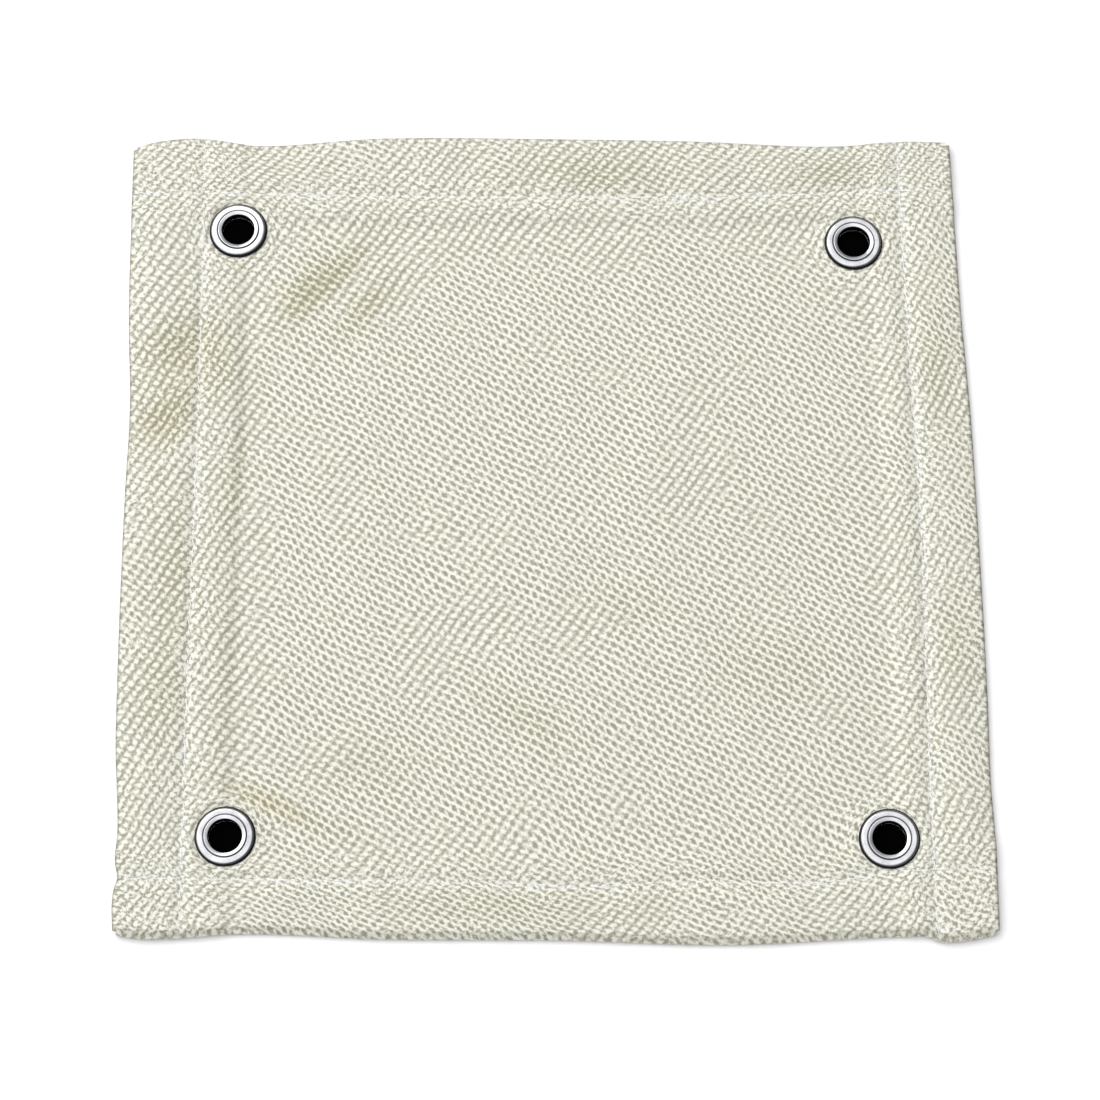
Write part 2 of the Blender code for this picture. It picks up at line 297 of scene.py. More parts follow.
def strip(half, hem_low, hem_high, stops):
    """One direction of the sheet's grid.

    Each line has its kind, its place, its turn round the fold and its place on the flat cloth.
    """
    top = spaced(stops)
    bend = math.pi * FOLD_REACH
    rows = []
    for sign, hem in ((-1, hem_low), (1, hem_high)):
        start = sign * (half - EDGE)
        flap = spaced([(0, 1), (3 * MM, 1.0 * MM), (hem - EDGE, 1.75 * MM)])
        side = [("bend", start, math.pi * k / FOLD_STEPS, start + sign * bend * k / FOLD_STEPS)
                for k in range(1, FOLD_STEPS)]
        side += [("flap", start - sign * place, math.pi, start + sign * (bend + place)) for place in flap]
        rows.append(side)
    return rows[0][::-1] + [("top", place, 0.0, place) for place in top] + rows[1]


def build_sheet():
    """The whole cloth as one grid: the panel, its four folded edges and the hems turned under it."""
    edge_x, edge_y = HALF_WIDTH - EDGE, HALF_LENGTH - EDGE
    columns = strip(HALF_WIDTH, HEM["left"], HEM["right"], [
        (-edge_x, 1), (SEAM_X["left"] - 3 * MM, 1.9 * MM), (SEAM_X["left"] + 3 * MM, 1.0 * MM),
        (-98 * MM, 1.6 * MM), (-9 * MM, 2.7 * MM), (9 * MM, 0.9 * MM), (98 * MM, 2.7 * MM),
        (SEAM_X["right"] - 3 * MM, 1.6 * MM), (SEAM_X["right"] + 3 * MM, 1.0 * MM), (edge_x, 1.9 * MM)])
    lines = strip(HALF_LENGTH, HEM["near"], HEM["far"], [
        (-edge_y, 1), (-edge_y + 2.0 * MM, 0.5 * MM),
        (SEAM_Y["near"] - 3 * MM, 1.9 * MM), (SEAM_Y["near"] + 3 * MM, 1.0 * MM),
        (-98 * MM, 1.6 * MM), (98 * MM, 2.5 * MM),
        (SEAM_Y["far"] - 3 * MM, 1.6 * MM), (SEAM_Y["far"] + 3 * MM, 1.0 * MM), (edge_y, 1.9 * MM)])
    kind_x, place_x, turn_x, flat_x = (np.array(part) for part in zip(*columns))
    kind_y, place_y, turn_y, flat_y = (np.array(part) for part in zip(*lines))
    x, y = np.meshgrid(place_x, place_y, indexing="ij")
    turn_x, turn_y = np.meshgrid(turn_x, turn_y, indexing="ij")
    flat_x, flat_y = np.meshgrid(flat_x, flat_y, indexing="ij")
    on_x, on_y = np.meshgrid(kind_x == "top", kind_y == "top", indexing="ij")
    top, low, thickness = sheet_heights(x, y)
    side, end = hem_shares(x, y)
    half = CLOTH * thickness / 2
    above = top - half
    under_side = low + half + end * LAYER * thickness
    under = np.where(on_y, under_side, low + half)
    turn = np.where(on_y, turn_x, turn_y)
    px, py = plan(x, y)
    reach = FOLD_REACH * np.sin(turn)
    px = px + np.where(on_x, 0, np.sign(x) * reach)
    py = py + np.where(on_y, 0, np.sign(y) * reach)
    z = (above + under) / 2 + (above - under) / 2 * np.cos(turn)
    real = on_x | on_y
    keep = real[:-1, :-1] & real[1:, :-1] & real[1:, 1:] & real[:-1, 1:]
    index = np.arange(x.size).reshape(x.shape)
    faces = np.stack([index[:-1, :-1], index[1:, :-1], index[1:, 1:], index[:-1, 1:]], -1)[keep]
    points = np.stack([px, py, z], -1).reshape(-1, 3)
    for centre in EYELET.values():
        middles = points[faces].mean(1)
        inside = np.hypot(middles[:, 0] - centre.x, middles[:, 1] - centre.y) < CLOTH_HOLE + 0.2 * MM
        border = np.intersect1d(faces[inside], faces[~inside])
        away = points[border, :2] - (centre.x, centre.y)
        points[border, :2] = (centre.x, centre.y) + away / np.linalg.norm(away, axis=1)[:, None] * CLOTH_HOLE
        faces = faces[~inside]
    used = np.unique(faces)
    renumber = np.zeros(x.size, int)
    renumber[used] = np.arange(len(used))
    mesh = bpy.data.meshes.new("glass_cloth")
    mesh.from_pydata(points[used].tolist(), [], renumber[faces].tolist())
    marks = cloth_marks(x, y, turn, on_x & on_y)
    wander = YARN_SWAY * (1 + marks["busy"])
    pull_x, pull_y = eyelet_pull(px, py)
    tight_x = (HEM_TIGHTER["right"] * np.maximum(x - INNER_X["right"], 0)
               + HEM_TIGHTER["left"] * np.minimum(x - INNER_X["left"], 0))
    tight_y = HEM_TIGHTER["ends"] * (np.maximum(y - INNER_Y["far"], 0) + np.minimum(y - INNER_Y["near"], 0))
    flat_place = (flat_x + wander * ripple(flat_x, flat_y, 20 * MM, 4.4) + pull_x + tight_x,
                  flat_y + wander * ripple(flat_x, flat_y, 20 * MM, 7.7) + pull_y + tight_y)
    flat = np.stack([part.ravel() for part in flat_place], -1)[used]
    corners = np.zeros(len(mesh.loops), int)
    mesh.loops.foreach_get("vertex_index", corners)
    mesh.uv_layers.new(name="flat_cloth").data.foreach_set("uv", flat[corners].astype(np.float32).ravel())
    for name, values in marks.items():
        mark = mesh.attributes.new(name, "FLOAT", "POINT")
        mark.data.foreach_set("value", values.ravel()[used].astype(np.float32))
    sheet = bpy.data.objects.new("glass_cloth", mesh)
    bpy.context.scene.collection.objects.link(sheet)
    group = sheet.vertex_groups.new(name="thickness")
    share = np.clip(thickness.ravel()[used], 0, 1)
    group.add(np.flatnonzero(share >= 0.999).tolist(), 1.0, "REPLACE")
    for k in np.flatnonzero(share < 0.999):
        group.add([int(k)], float(share[k]), "REPLACE")
    activate(sheet)
    wall = sheet.modifiers.new("wall", "SOLIDIFY")
    wall.thickness, wall.offset, wall.vertex_group = CLOTH, 0.0, group.name
    bpy.ops.object.modifier_apply(modifier=wall.name)
    bpy.ops.object.shade_smooth_by_angle(angle=math.radians(50))
    flat_size = (flat_x.max() - flat_x.min(), flat_y.max() - flat_y.min())
    trimmed = sum((abs(a) - HALF_WIDTH) * (abs(b) - HALF_LENGTH)
                  for a in (flat_x.min(), flat_x.max()) for b in (flat_y.min(), flat_y.max()))
    return sheet, flat_size, flat_size[0] * flat_size[1] - trimmed


def patch(x, y, centre, size, turn):
    """A soft oval patch, 1 at its centre. Centre and half sizes are in mm, and the turn is in degrees."""
    c, s = math.cos(math.radians(turn)), math.sin(math.radians(turn))
    dx, dy = x / MM - centre[0], y / MM - centre[1]
    along, across = (dx * c + dy * s) / size[0], (dy * c - dx * s) / size[1]
    return np.exp(-(along ** 2 + across ** 2))


def patches(x, y, table):
    """All the patches of one table together."""
    return sum(strength * patch(x, y, centre, size, turn) for strength, centre, size, turn in table)


def cloth_marks(x, y, turn, upper):
    """What the cloth's finish reads at each point: how the weave shows, tan patches, patches of painted shade,
    seams, and painted shade at the edges.
    """
    sewn = np.maximum.reduce([np.exp(-(away / SEAM_FURROW) ** 2) for away, _ in seam_distances(x, y)])
    near_sewn = np.maximum.reduce([np.exp(-(away / (6.5 * MM)) ** 2) for away, _ in seam_distances(x, y)])
    near_edge = np.maximum(smooth(np.abs(x), HALF_WIDTH - 9 * MM, HALF_WIDTH),
                           smooth(np.abs(y), HALF_LENGTH - 7 * MM, HALF_LENGTH))
    px, py = plan(x, y)
    near_eyelet = 0 * x
    for centre in EYELET.values():
        reach = np.hypot(px - centre.x, py - centre.y)
        near_eyelet = np.maximum(near_eyelet, 1 - smooth(reach, RIM, RIM + 13 * MM))
    side, end = hem_shares(x, y)
    busy = np.maximum.reduce([0.8 * near_sewn, 0.7 * near_edge, near_eyelet, side * end, 0.2 * (side + end)])
    busy = np.clip(busy + 0.5 * ripple(x, y, 13 * MM, 6.1) * (0.15 + side + end), 0, 1)
    far_left = patch(x, y, (-70, 92), (42, 26), 45)
    rows = (0.12 + 0.85 * (1 - smooth(x, -122 * MM, -90 * MM)) + 0.70 * smooth(y, 88 * MM, 128 * MM)
            + 0.38 * (1 - smooth(y, -130 * MM, -92 * MM)) + 0.40 * smooth(x, 104 * MM, 134 * MM)
            + 0.60 * far_left + 0.8 * ripple(x, y, 24 * MM, 2.6))
    shade, tan = patches(x, y, SHADED), patches(x, y, TANNED)
    upper = upper.astype(float)
    sewn = sewn * np.clip(0.65 + 1.1 * ripple(x, y, 10 * MM, 12.3), 0.15, 1)
    # painted shade: a thin dark line along the folded edges, and on the near one a dark line before the lighter
    # fold
    edge = np.sin(turn) ** 3
    before = 0.40 * smooth(-y, HALF_LENGTH - 3.4 * MM, HALF_LENGTH - 2.0 * MM) * upper
    on_near_fold = (y < -HALF_LENGTH + EDGE + 0.1 * MM) & (turn > 0)
    edge = np.where(on_near_fold, 0.40 - 0.40 * smooth(turn, 0.2, 0.9) + smooth(turn, 1.8, 2.4), edge)
    return {"rows": rows, "shade": shade * upper, "tan": tan * upper, "sewn": sewn, "busy": busy,
            "edge": np.maximum(edge, before)}


# ---------------------------------------------------------------- modelling helpers


def activate(thing):
    """Makes one object the only selected one, and the active one."""
    for other in bpy.context.selected_objects:
        other.select_set(False)
    thing.select_set(True)
    bpy.context.view_layer.objects.active = thing


def arc(centre, radii, start, stop, steps):
    """Points round an ellipse in a ring's section, from one angle to another in degrees."""
    angles = [math.radians(start + (stop - start) * k / steps) for k in range(steps + 1)]
    return [(centre[0] + radii[0] * math.cos(a), centre[1] + radii[1] * math.sin(a)) for a in angles]


def turned_ring(name, centre, section, shade_and_dullness):
    """A closed ring, drawn out of one circle round its section, and marked where shade is painted on its plating
    and the plating is rougher.
    """
    bpy.ops.object.select_all(action="DESELECT")
    radius, height = section[0]
    bpy.ops.mesh.primitive_circle_add(vertices=RING_SEGMENTS, radius=radius, location=(centre.x, centre.y, height))
    ring = bpy.context.object
    ring.name = ring.data.name = name
    bpy.ops.object.transform_apply(location=True)
    bpy.ops.object.mode_set(mode="EDIT")
    bpy.ops.mesh.select_all(action="SELECT")
    for new_radius, new_height in section[1:] + section[:1]:
        bpy.ops.mesh.extrude_edges_move(TRANSFORM_OT_translate={"value": (0, 0, new_height - height)})
        share = new_radius / radius
        bpy.ops.transform.resize(value=(share, share, 1), center_override=(centre.x, centre.y, new_height))
        radius, height = new_radius, new_height
    bpy.ops.mesh.select_all(action="SELECT")
    bpy.ops.mesh.remove_doubles(threshold=0.002 * MM)
    bpy.ops.mesh.normals_make_consistent(inside=False)
    bpy.ops.object.mode_set(mode="OBJECT")
    bpy.ops.object.shade_smooth_by_angle(angle=math.radians(40))
    mark = ring.data.attributes.new("shade_and_dullness", "FLOAT", "POINT")
    for vertex, value in zip(ring.data.vertices, mark.data):
        value.value = shade_and_dullness(math.hypot(vertex.co.x - centre.x, vertex.co.y - centre.y), vertex.co.z)
    return ring


def build_grommet(corner):
    """The flanged tube: a flat flange under the cloth, and a lip rolled out over the washer."""
    tube = HOLE + TUBE_WALL
    outside, inside = HOLE + LIP - LIP_ROUND, HOLE + LIP_ROUND
    tilt = 106  # degrees, where the lip's rounded edges meet its slope
    section = arc((HOLE + 0.35 * MM, 0.35 * MM), (0.35 * MM, 0.35 * MM), 180, 270, 5)
    section += arc((RIM - 0.25 * MM, 0.25 * MM), (0.25 * MM, 0.25 * MM), -90, 90, 8)
    section += arc((tube + 0.2 * MM, TUBE_WALL + 0.2 * MM), (0.2 * MM, 0.2 * MM), 270, 180, 4)
    section += [(tube, WASHER_BASE + 0.6 * MM)]
    section += arc((outside, LIP_TOP - LIP_ROUND), (LIP_ROUND, LIP_ROUND), -80, tilt, 14)
    section += arc((inside, LIP_TOP - LIP_ROUND - LIP_FALL), (LIP_ROUND, LIP_ROUND), tilt, 180, 8)

    # painted shade: black inside the tube, and darker towards the lip's outer edge by the washer
    def shade_and_dullness(radius, height):
        in_tube = radius < HOLE + 0.12 * MM and height < LIP_TOP - 0.55 * MM
        return 1.0 if in_tube else float(0.6 * smooth(radius, outside, HOLE + LIP - 0.05 * MM))

    return turned_ring("grommet_ring_" + corner, EYELET[corner], section, shade_and_dullness)


def build_washer(corner):
    """The washer: a rounded outer ring, and a low inner rim that the lip is rolled over."""
    seat = HOLE + TUBE_WALL + 0.3 * MM
    rest = LIP_TOP - 0.66 * MM
    outer, inner = RIM - 1.25 * MM, HOLE + LIP + 0.55 * MM
    section = [(seat, WASHER_BASE), (RIM + RIM_SKIRT, WASHER_BASE), (RIM + RIM_SKIRT, WASHER_BASE + 0.12 * MM)]
    section += arc((outer, WASHER_BASE + 0.30 * MM), (1.25 * MM, WASHER_TOP - WASHER_BASE - 0.30 * MM), 0, 90, 14)
    section += arc((inner, WASHER_TOP - 0.30 * MM), (0.45 * MM, 0.30 * MM), 90, 165, 7)
    section += [(seat + 0.1 * MM, rest), (seat, rest - 0.1 * MM)]

    # painted dark reflection and contact shadow at the outer rim and its foot, and painted shade in the groove
    # under the lip
    def shade_and_dullness(radius, _):
        return float(max(smooth(radius, RIM - 0.55 * MM, RIM - 0.15 * MM),
                         0.55 - 0.55 * smooth(radius, inner - 0.35 * MM, inner + 0.12 * MM)))

    return turned_ring("washer_ring_" + corner, EYELET[corner], section, shade_and_dullness)


def build_thread(name, seam, along_x, upper):
    """One continuous thread: it lies on the cloth for a stitch, then dips into the needle hole."""
    half = (HALF_WIDTH if along_x else HALF_LENGTH) - 2.2 * MM
    count = int(2 * half / STITCH)
    parts = (0.0, 0.09, 0.22, 0.5, 0.78, 0.91)
    s = np.array([(k + part) * STITCH for k in range(count) for part in parts]) - half
    share = np.tile(parts, count)
    x, y = (s, np.full_like(s, seam)) if along_x else (np.full_like(s, seam), s)
    top, low, _ = sheet_heights(x, y)
    dip = np.exp(-((np.minimum(share, 1 - share)) / 0.13) ** 2)
    sway = 0.22 * MM * np.sin(2 * np.pi * share) + 0.35 * MM * ripple(s, s, 6 * MM, seam * 50)
    if upper:
        buried = 0.27 * MM * np.clip(0.6 + ripple(s, s, 11 * MM, seam * 70), 0, 1)
        z = top + 0.16 * MM - buried - dip * 0.75 * MM
    else:
        z = low - 0.02 * MM + dip * 0.55 * MM
    px, py = plan(x, y)
    px, py = (px, py + sway) if along_x else (px + sway, py)
    curve = bpy.data.curves.new(name, "CURVE")
    curve.dimensions = "3D"
    curve.bevel_depth, curve.bevel_resolution, curve.use_fill_caps = THREAD / 2, 1, True
    spline = curve.splines.new("POLY")
    spline.points.add(len(s) - 1)
    spline.points.foreach_set("co", np.stack([px, py, z, np.ones_like(z)], -1).ravel())
    thread = bpy.data.objects.new(name, curve)
    bpy.context.scene.collection.objects.link(thread)
    activate(thread)
    bpy.ops.object.convert(target="MESH")
    bpy.ops.object.shade_smooth()
    return bpy.context.object


# ---------------------------------------------------------------- finishes


class Nodes:
    """Adds shader nodes to one tree. Sockets and plain values go in, and a socket comes out."""

    def __init__(self, tree):
        self.tree = tree

    def feed(self, socket, value):
        if isinstance(value, bpy.types.NodeSocket):
            self.tree.links.new(value, socket)
        else:
            socket.default_value = value

    def add(self, kind, inputs=None, output=0, **settings):
        node = self.tree.nodes.new(kind)
        for name, value in settings.items():
            setattr(node, name, value)
        for name, value in (inputs or {}).items():
            self.feed(node.inputs[name], value)
        return node.outputs[output]

    def math(self, operation, a, b=0.0, clamp=False):
        return self.add("ShaderNodeMath", {0: a, 1: b}, operation=operation, use_clamp=clamp)

    def noise(self, vector, scale, detail=2.0, output=0, **more):
        return self.add("ShaderNodeTexNoise", {"Vector": vector, "Scale": scale, "Detail": detail}, output, **more)

    def spread(self, value, low, high, new_low=0.0, new_high=1.0):
        return self.add("ShaderNodeMapRange", {0: value, 1: low, 2: high, 3: new_low, 4: new_high},
                        interpolation_type="SMOOTHSTEP")

    def ramp(self, value, stops):
        node = self.tree.nodes.new("ShaderNodeValToRGB")
        self.feed(node.inputs[0], value)
        while len(node.color_ramp.elements) < len(stops):
            node.color_ramp.elements.new(0.5)
        for element, (place, colour) in zip(node.color_ramp.elements, stops):
            element.position, element.color = place, (*colour, 1)
        return node.outputs[0]

    def mix(self, share, a, b, blend="MIX"):
        node = self.tree.nodes.new("ShaderNodeMix")
        node.data_type, node.blend_type = "RGBA", blend
        for socket, value in zip((node.inputs[0], node.inputs[6], node.inputs[7]), (share, a, b)):
            self.feed(socket, value)
        return node.outputs[2]


def group(name, inputs, outputs):
    """An empty node group with float or vector sockets, and its nodes."""
    tree = bpy.data.node_groups.new(name, "ShaderNodeTree")
    for socket, kind in inputs:
        tree.interface.new_socket(socket, in_out="INPUT", socket_type="NodeSocket" + kind)
    for socket, kind in outputs:
        tree.interface.new_socket(socket, in_out="OUTPUT", socket_type="NodeSocket" + kind)
    nodes = Nodes(tree)
    return tree, nodes, tree.nodes.new("NodeGroupInput").outputs, tree.nodes.new("NodeGroupOutput").inputs


def mottle_group():
    """Uneven tone: a broad and a fine noise together, for cloth, thread, metal and floor alike."""
    tree, n, given, out = group("Mottle", [("Vector", "Vector"), ("Broad", "Float"), ("Fine", "Float")],
                                [("Tone", "Float")])
    broad = n.noise(given["Vector"], given["Broad"], 0.0)
    fine = n.noise(given["Vector"], given["Fine"], 1.0)
    n.feed(out["Tone"], n.math("ADD", n.math("MULTIPLY", broad, 0.5), n.math("MULTIPLY", fine, 0.5)))
    return tree


def twill_group():
    """Two-over-one twill seen from above: 0 in the sunk crossings, and 1 on the raised yarns between them."""
    tree, n, given, out = group(
        "Twill", [("Flat", "Vector"), ("Warp Pitch", "Float"), ("Weft Pitch", "Float"), ("Lean", "Float"),
                  ("Rows", "Float"), ("Stray", "Float")],
        [("Crest", "Float")])
    # each yarn strays a little from its straight line
    jitter = n.noise(given["Flat"], 330.0, 0.0, output=1)
    jitter = n.add("ShaderNodeVectorMath", {0: jitter, 1: (0.5, 0.5, 0.5)}, operation="SUBTRACT")
    jitter = n.add("ShaderNodeVectorMath", {0: jitter, "Scale": given["Stray"]}, operation="SCALE")
    split = tree.nodes.new("ShaderNodeSeparateXYZ")
    n.feed(split.inputs[0], n.add("ShaderNodeVectorMath", {0: given["Flat"], 1: jitter}, operation="ADD"))
    across, along = split.outputs[0], split.outputs[1]
    warp = n.math("DIVIDE", across, given["Warp Pitch"])
    weft = n.math("DIVIDE", n.math("SUBTRACT", along, n.math("MULTIPLY", across, given["Lean"])),
                  given["Weft Pitch"])
    turn = 2 * math.pi / 3
    steep = n.math("MULTIPLY", n.math("SUBTRACT", warp, weft), turn)
    shallow = n.math("MULTIPLY", n.math("ADD", warp, n.math("MULTIPLY", weft, 2.0)), turn)

    def yarns(phase, sharpness, other, shift, swing):
        """A row of yarns, a little brighter once in each repeat."""
        wave = n.math("MULTIPLY", n.math("COSINE", phase), 0.5)
        ridge = n.math("POWER", n.math("SUBTRACT", 0.5, wave), sharpness)
        beat = n.math("MULTIPLY", n.math("COSINE", n.math("ADD", other, shift)), swing)
        return n.math("MULTIPLY", ridge, n.math("ADD", beat, 1.0 - swing))

    # where the cloth lies relaxed, three sets of raised yarns close round small sunk ovals
    first = yarns(shallow, 2.1, steep, -2.2, 0.10)
    second = n.math("MULTIPLY", yarns(steep, 2.3, shallow, 2.4, 0.16), 0.26)
    third = n.math("MULTIPLY", yarns(n.math("ADD", shallow, steep), 2.0, shallow, 1.2, 0.10), 0.70)
    gap = n.math("MULTIPLY", n.math("SUBTRACT", 1.0, first), n.math("SUBTRACT", 1.0, second))
    net = n.math("SUBTRACT", 1.0, n.math("MULTIPLY", gap, n.math("SUBTRACT", 1.0, third)))
    # where it is pulled, bright beads stand in rows between sunk lines
    bead = n.math("ADD", n.math("MULTIPLY", yarns(shallow, 0.9, steep, 0.8, 0.10), 0.78), 0.32)
    beads = n.math("ADD", n.math("MULTIPLY", yarns(steep, 0.9, shallow, 2.4, 0.10), bead), 0.20)
    pulled = n.spread(given["Rows"], 0.15, 0.85)
    n.feed(out["Crest"], n.math("ADD", net, n.math("MULTIPLY", pulled, n.math("SUBTRACT", beads, net))))
    return tree


def finish(name, metallic=0.0, roughness=0.5):
    """A new material: its nodes and its Principled shader."""
    made = bpy.data.materials.new(name)
    made.use_nodes = True
    shader = made.node_tree.nodes["Principled BSDF"]
    shader.inputs["Metallic"].default_value = metallic
    shader.inputs["Roughness"].default_value = roughness
    return made, Nodes(made.node_tree), shader.inputs


def place_group(n, tree, inputs):
    """Puts a node group in a material and returns its outputs."""
    node = n.tree.nodes.new("ShaderNodeGroup")
    node.node_tree = tree
    for name, value in inputs.items():
        n.feed(node.inputs[name], value)
    return node.outputs


def cloth_finish(twill, mottle):
    """Cream glass cloth: bright yarns round grey-green sunk crossings, with tan patches and patches of painted
    shade. The crossings' grey-green is painted shade, the crests' near-white a painted highlight, and the folded
    edges carry painted shade.
    """
    made, n, shader = finish("woven glass cloth")
    flat = n.add("ShaderNodeUVMap", uv_map="flat_cloth")

    def mark(name):
        return n.add("ShaderNodeAttribute", None, 2, attribute_name=name)

    busy = mark("busy")
    weave = place_group(n, twill, {
        "Flat": flat, "Warp Pitch": WARP_PITCH, "Weft Pitch": WEFT_PITCH, "Lean": WEAVE_LEAN, "Rows": mark("rows"),
        "Stray": n.math("ADD", 0.0005, n.math("MULTIPLY", busy, 0.0011))})
    tone = place_group(n, mottle, {"Vector": flat, "Broad": 760.0, "Fine": 1700.0})[0]
    sparkle = n.math("ADD", 1.9, n.math("MULTIPLY", busy, 1.5))
    crest = n.math("ADD", weave["Crest"], n.math("MULTIPLY", n.math("SUBTRACT", tone, 0.46), sparkle))
    # painted shade patches lower the height, most in the sunk grooves, then darken the colour with a khaki tint
    sunk = n.math("ADD", 0.08, n.math("MULTIPLY", n.math("SUBTRACT", 1.0, weave["Crest"]), 0.25))
    height = n.math("SUBTRACT", crest, n.math("MULTIPLY", mark("shade"), sunk), clamp=True)
    # the ramp's dark end is painted shade in the sunk crossings, and its near-white end a painted highlight on the
    # crests
    colour = n.ramp(height, [
        (0.0, (0.31, 0.299, 0.226)), (0.30, (0.40, 0.388, 0.305)), (0.55, (0.56, 0.55, 0.455)),
        (0.80, (0.74, 0.73, 0.63)), (1.0, (0.83, 0.82, 0.74))])
    colour = n.mix(n.math("MULTIPLY", mark("tan"), 0.45, clamp=True), colour, (0.93, 0.86, 0.70, 1), "MULTIPLY")
    colour = n.mix(n.math("MULTIPLY", mark("shade"), 0.50, clamp=True), colour, (0.83, 0.80, 0.62, 1), "MULTIPLY")
    lint = n.math("MULTIPLY", mark("sewn"), n.spread(tone, 0.47, 0.60, 0.08, 0.60), clamp=True)
    colour = n.mix(lint, colour, (0.84, 0.84, 0.85, 1))
    # painted shade along the folded edges and before the near fold
    colour = n.mix(n.math("MULTIPLY", mark("edge"), 0.95, clamp=True), colour, (0.24, 0.225, 0.17, 1), "MULTIPLY")
    n.feed(shader["Base Color"], colour)
    n.feed(shader["Roughness"], n.spread(height, 0.0, 1.0, 0.85, 0.50))
    n.feed(shader["Normal"], n.add("ShaderNodeBump", {"Strength": 0.45, "Distance": 0.4 * MM, "Height": height}))
    return made


def thread_finish(mottle):
    """White sewing thread with its twist."""
    made, n, shader = finish("white sewing thread", roughness=0.6)
    place = n.add("ShaderNodeTexCoord", None, "Object")
    twist = n.add("ShaderNodeTexWave", {"Vector": place, "Scale": 900.0, "Distortion": 1.5},
                  1, bands_direction="DIAGONAL")
    tone = place_group(n, mottle, {"Vector": place, "Broad": 120.0, "Fine": 1500.0})[0]
    value = n.math("ADD", n.math("MULTIPLY", twist, 0.5), n.math("MULTIPLY", tone, 0.5))
    n.feed(shader["Base Color"], n.ramp(value, [(0.2, (0.72, 0.72, 0.71)), (0.8, (0.95, 0.95, 0.94))]))
    n.feed(shader["Normal"], n.add("ShaderNodeBump", {"Strength": 0.5, "Distance": 0.08 * MM, "Height": twist}))
    return made


def metal_finish(mottle):
    """Bright plated metal with faint handling marks."""
    made, n, shader = finish("bright plating", metallic=1.0)
    place = n.add("ShaderNodeTexCoord", None, "Object")
    tone = place_group(n, mottle, {"Vector": place, "Broad": 260.0, "Fine": 2600.0})[0]
    # the marked places are painted near-black and made rougher: painted shade in the tube and grooves, painted
    # dark reflection and contact shadow at the washer's rim
    shade_and_dullness = n.add("ShaderNodeAttribute", None, 2, attribute_name="shade_and_dullness")
    plating = n.ramp(tone, [(0.30, (0.40, 0.405, 0.425)), (0.65, (0.60, 0.605, 0.62))])
    n.feed(shader["Base Color"], n.mix(shade_and_dullness, plating, (0.02, 0.022, 0.026, 1)))
    wear = n.spread(tone, 0.3, 0.7, 0.10, 0.24)
    n.feed(shader["Roughness"], n.math("ADD", wear, n.math("MULTIPLY", shade_and_dullness, 0.4)))
    n.feed(shader["Normal"], n.add("ShaderNodeBump", {"Strength": 0.10, "Distance": 0.1 * MM, "Height": tone}))
    return made


def floor_finish(mottle):
    """Plain white floor."""
    made, n, shader = finish("white floor", roughness=0.9)
    place = n.add("ShaderNodeTexCoord", None, "Object")
    tone = place_group(n, mottle, {"Vector": place, "Broad": 2.0, "Fine": 90.0})[0]
    n.feed(shader["Base Color"], n.ramp(tone, [(0.3, (0.95, 0.95, 0.95)), (0.7, (0.96, 0.96, 0.96))]))
    shader["Specular IOR Level"].default_value = 0.0
    return made


def dark_finish():
    """Near-black painted shade: what shows through an eyelet."""
    made, _, shader = finish("dark hole", roughness=1.0)
    shader["Base Color"].default_value = (0.001, 0.001, 0.001, 1)
    shader["Specular IOR Level"].default_value = 0.0
    return made


# ---------------------------------------------------------------- stage


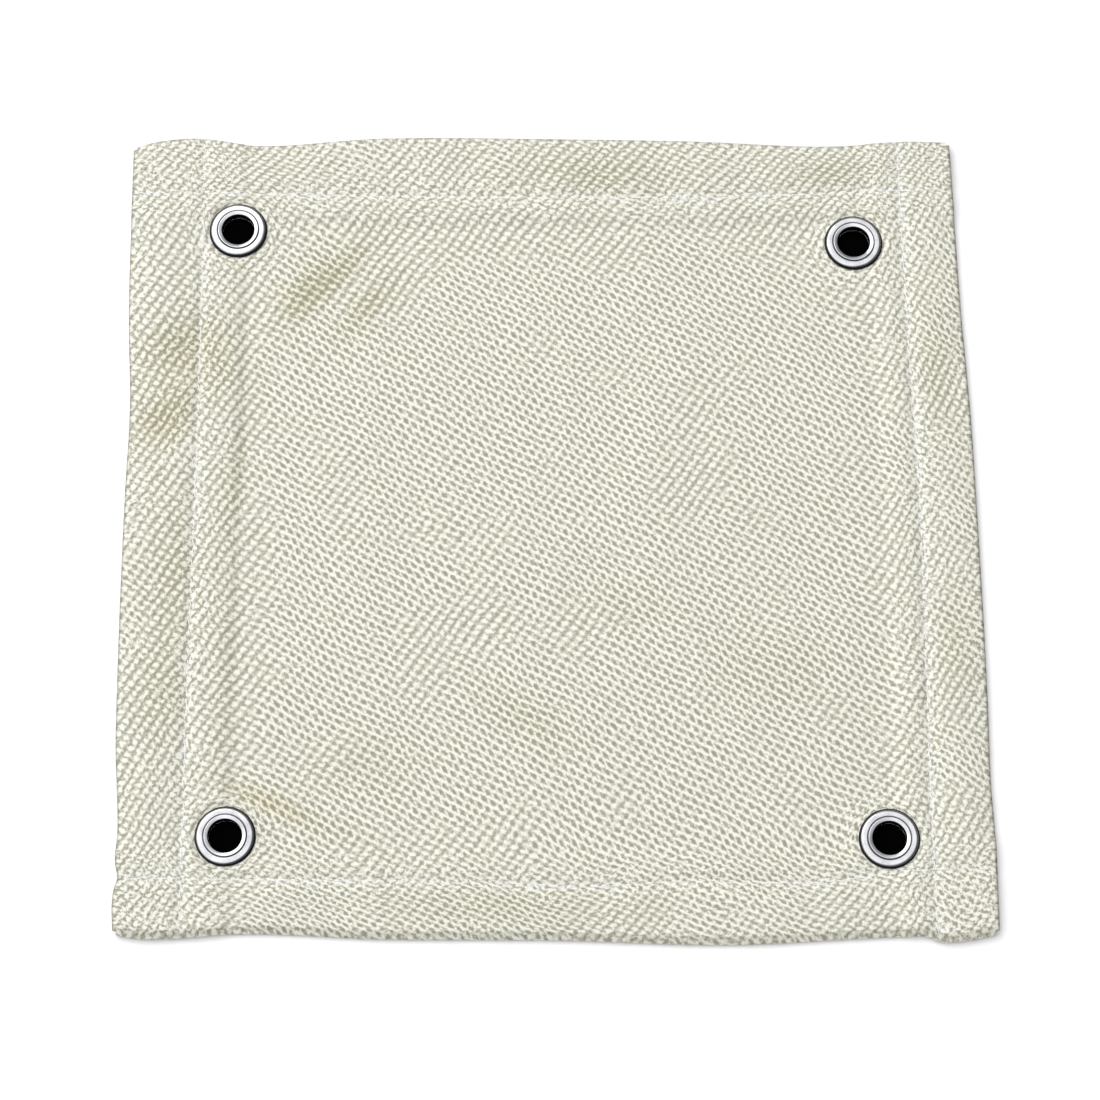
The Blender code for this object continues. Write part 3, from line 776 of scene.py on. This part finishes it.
def build_stage(mottle):
    """Floor, world light, one soft lamp and the camera."""
    bpy.ops.object.select_all(action="DESELECT")
    bpy.ops.mesh.primitive_plane_add(size=24.0, location=(0, 0, -0.05 * MM))
    floor = bpy.context.object
    floor.name = "floor"
    floor.data.materials.append(floor_finish(mottle))
    world = bpy.data.worlds.new("studio")
    bpy.context.scene.world = world
    world.use_nodes = True
    n = Nodes(world.node_tree)
    direction = n.add("ShaderNodeTexCoord", None, "Generated")
    facing = n.add("ShaderNodeVectorMath", {0: direction, 1: (-0.36, 0.06, 0.93)}, 1, operation="DOT_PRODUCT")
    sky = n.ramp(facing, [(0.0, (0.07, 0.07, 0.07)), (0.36, (0.11, 0.11, 0.115)), (0.62, (0.46, 0.46, 0.48)),
                          (0.86, (1.0, 1.0, 1.0))])
    seen = n.add("ShaderNodeLightPath", None, "Is Camera Ray")
    back = world.node_tree.nodes["Background"]
    n.feed(back.inputs[0], n.mix(seen, sky, (1, 1, 1, 1)))
    back.inputs[1].default_value = 1.70
    lamp = bpy.data.lights.new("soft lamp", "AREA")
    lamp.shape, lamp.size, lamp.size_y, lamp.energy = "RECTANGLE", 1.4, 1.1, 9.2
    holder = bpy.data.objects.new("soft lamp", lamp)
    holder.location = (-0.75, 0.85, 1.35)
    holder.rotation_euler = (Vector((0, 0, 0)) - holder.location).to_track_quat("-Z", "Y").to_euler()
    bpy.context.scene.collection.objects.link(holder)
    camera = bpy.data.cameras.new("camera")
    camera.lens, camera.sensor_width = 107.65, 36.0
    camera.shift_x, camera.shift_y = 0.0006, -0.0221
    camera.clip_start, camera.clip_end = 0.05, 60.0
    eye = bpy.data.objects.new("camera", camera)
    elevation, distance = math.radians(71.519), 1.1787
    eye.location = (0, -distance * math.cos(elevation), distance * math.sin(elevation))
    eye.rotation_mode = "QUATERNION"
    roll = Quaternion((0, 0, 1), math.radians(-0.604))
    eye.rotation_quaternion = (-eye.location).to_track_quat("-Z", "Y") @ roll
    bpy.context.scene.collection.objects.link(eye)
    bpy.context.scene.camera = eye
    bpy.context.scene.view_settings.view_transform = "Standard"


def build_hole_shadow(corner, body, dark):
    """A dark disc inside an eyelet, so that its hole looks as deep as it does in use."""
    centre = EYELET[corner]
    bpy.ops.object.select_all(action="DESELECT")
    bpy.ops.mesh.primitive_circle_add(vertices=48, radius=HOLE - 0.02 * MM, fill_type="NGON",
                                      location=(centre.x, centre.y, DISC_HEIGHT))
    disc = bpy.context.object
    disc.name = "hole_shadow_" + corner
    bpy.ops.object.transform_apply(location=True)
    disc.data.materials.append(dark)
    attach(disc, body)


# ---------------------------------------------------------------- the blanket

mottle = mottle_group()
build_stage(mottle)
cloth_look = cloth_finish(twill_group(), mottle)
thread_look = thread_finish(mottle)
metal_look = metal_finish(mottle)
dark = dark_finish()

cloth, cloth_size, cloth_area = build_sheet()
cloth.data.materials.append(cloth_look)
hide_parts("cloth_left_half", "cloth_right_half")
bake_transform(cloth)

sewn = []
for row, upper in (("needle", True), ("bobbin", False)):
    for side in ("left", "right"):
        thread = build_thread(f"{side}_seam_{row}_thread", SEAM_X[side], False, upper)
        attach(thread, side + "_half")
        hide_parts(f"{row}_thread_{side}_seam")
        sewn.append(thread)
    for side in ("far", "near"):
        thread = build_thread(f"{side}_seam_{row}_thread", SEAM_Y[side], True, upper)
        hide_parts(f"{row}_thread_{side}_seam_left", f"{row}_thread_{side}_seam_right")
        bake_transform(thread)
        sewn.append(thread)
for thread in sewn:
    thread.data.materials.append(thread_look)

for corner in CORNERS:
    body = corner.split("_")[1] + "_half"
    for ring, node in ((build_grommet(corner), "grommet_"), (build_washer(corner), "washer_")):
        ring.data.materials.append(metal_look)
        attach(ring, body)
        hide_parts(node + corner)
    build_hole_shadow(corner, body, dark)
